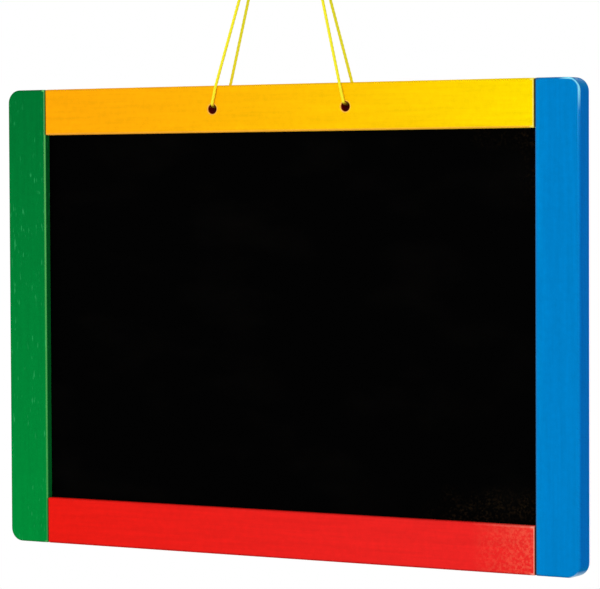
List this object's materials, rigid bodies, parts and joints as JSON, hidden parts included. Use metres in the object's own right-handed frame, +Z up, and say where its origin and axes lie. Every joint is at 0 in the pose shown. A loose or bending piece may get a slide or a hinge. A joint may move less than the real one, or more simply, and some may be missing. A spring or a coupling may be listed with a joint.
{
  "type": "magnetic drawing board",
  "caption": "Hanging magnetic drawing board: bright painted wooden frame, grooved and dowelled, round a recessed steel-faced panel, with a knotted cord and loop for a nail.",
  "frame": {"origin": "the point inside the top of the hanging loop that rests on a nail or hook", "axes": "+X to the right of someone looking at the drawing face, +Y into the wall behind the board, +Z up"},
  "size_m": [0.42, 0.0182, 0.482],
  "materials": {
    "green_paint": "satin lacquer on wood",
    "blue_paint": "satin lacquer on wood",
    "yellow_paint": "satin lacquer on wood",
    "red_paint": "satin lacquer on wood",
    "hardboard": "pressed fibre",
    "chalk_lacquer": "smooth black lacquer on steel",
    "white_enamel": "gloss white enamel on steel",
    "beech": "turned and fluted",
    "cord": "smooth twisted cord"
  },
  "bodies": {
    "hanger": {"hanging_loop": "cord"},
    "knot": {"cord_knot": "cord"},
    "board": {"left_stile": "green_paint", "right_stile": "blue_paint", "top_rail": "yellow_paint", "bottom_rail": "red_paint", "panel_core": "hardboard", "chalk_sheet": "chalk_lacquer", "white_sheet": "white_enamel", "dowel_top_left_outer": "beech", "dowel_top_left_inner": "beech", "dowel_top_right_outer": "beech", "dowel_top_right_inner": "beech", "dowel_bottom_left_outer": "beech", "dowel_bottom_left_inner": "beech", "dowel_bottom_right_outer": "beech", "dowel_bottom_right_inner": "beech", "cord_left": "cord", "cord_right": "cord"}
  },
  "joints": [
    {"name": "tilt", "type": "hinge", "parent": "hanger", "child": "knot", "pos_m": [0, 0, -0.02], "axis": [0, 1, 0], "range_deg": [-20, 20]},
    {"name": "swing", "type": "hinge", "parent": "knot", "child": "board", "pos_m": [0, 0, -0.02], "axis": [1, 0, 0], "range_deg": [-30, 30]}
  ]
}
